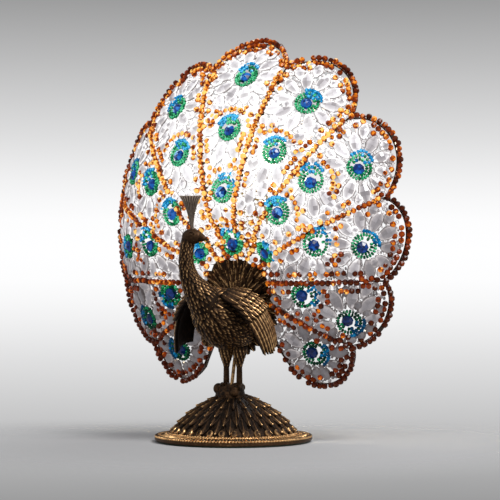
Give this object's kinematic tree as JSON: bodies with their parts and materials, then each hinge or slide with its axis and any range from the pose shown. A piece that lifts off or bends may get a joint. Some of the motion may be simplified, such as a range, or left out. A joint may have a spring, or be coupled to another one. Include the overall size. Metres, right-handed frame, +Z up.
{
  "type": "peacock table lamp",
  "caption": "Table lamp: a cast peacock on a leafed dome foot, its fanned tail a scalloped shade of glass beads on brass ribs, with a small screw lamp holder behind.",
  "frame": {"origin": "on the table under the middle of the foot", "axes": "+Z up, the bird faces -Y, its left side is +X"},
  "size_m": [0.3536, 0.162, 0.4137],
  "materials": {
    "cast_patina": "dark bronze patina with brass rubbed bright on the high places",
    "crest_patina": "matt grey-brown patina",
    "fan_brass": "aged brass strip",
    "holder_brass": "satin brass",
    "zinc_steel": "zinc plated",
    "felt": "dark green felt",
    "black_plastic": "moulded",
    "key_plastic": "glossy moulded",
    "porcelain": "white glaze",
    "cap_metal": "drawn thread",
    "lit_glass": "opal glass, lit",
    "crystal_beads": "faceted clear glass, lit from behind",
    "amber_beads": "faceted amber glass, lit from behind",
    "green_beads": "small green glass beads",
    "aqua_beads": "faceted light blue glass",
    "cobalt_glass": "faceted cobalt blue glass"
  },
  "bodies": {
    "lamp": {"arm_nuts": "holder_brass", "arm_spacer": "holder_brass", "beadwork_01": "crystal_beads", "beadwork_02": "crystal_beads", "beadwork_03": "crystal_beads", "beadwork_04": "crystal_beads", "beadwork_05": "crystal_beads", "beadwork_06": "crystal_beads", "beadwork_07": "crystal_beads", "beadwork_08": "crystal_beads", "beadwork_09": "crystal_beads", "beadwork_10": "crystal_beads", "beadwork_11": "crystal_beads", "bird_body": "cast_patina", "clamp_nipple": "zinc_steel", "clamp_nut": "zinc_steel", "clamp_washer": "zinc_steel", "cord_bushing": "black_plastic", "crest": "crest_patina", "eye_glasses": "cobalt_glass", "fan_rib_01": "fan_brass", "fan_rib_02": "fan_brass", "fan_rib_03": "fan_brass", "fan_rib_04": "fan_brass", "fan_rib_05": "fan_brass", "fan_rib_06": "fan_brass", "fan_rib_07": "fan_brass", "fan_rib_08": "fan_brass", "fan_rib_09": "fan_brass", "fan_rib_10": "fan_brass", "fan_rib_11": "fan_brass", "fan_rib_12": "fan_brass", "felt_pad": "felt", "foot_dome": "cast_patina", "foot_plate": "zinc_steel", "holder_arm": "holder_brass", "holder_shell": "holder_brass", "hub_plate": "fan_brass", "hub_screws": "zinc_steel", "left_wing": "cast_patina", "legs_casting": "cast_patina", "lobe_rim_01": "fan_brass", "lobe_rim_02": "fan_brass", "lobe_rim_03": "fan_brass", "lobe_rim_04": "fan_brass", "lobe_rim_05": "fan_brass", "lobe_rim_06": "fan_brass", "lobe_rim_07": "fan_brass", "lobe_rim_08": "fan_brass", "lobe_rim_09": "fan_brass", "lobe_rim_10": "fan_brass", "lobe_rim_11": "fan_brass", "middle_contact": "holder_brass", "porcelain_liner": "porcelain", "right_wing": "cast_patina", "tail_casting": "cast_patina", "wiring_tube": "cast_patina"},
    "switch_key": {"switch_key": "key_plastic"},
    "bulb": {"bulb_cap": "cap_metal", "bulb_glass": "lit_glass"}
  },
  "joints": [
    {"name": "key_turn", "type": "hinge", "parent": "lamp", "child": "switch_key", "pos_m": [0, 0.06, 0.2185], "axis": [0, 1, 0], "continuous": true},
    {"name": "bulb_turn", "type": "hinge", "parent": "lamp", "child": "bulb", "pos_m": [0, 0.04, 0.25], "axis": [0, 0, 1], "range_deg": [0, 1800]}
  ]
}
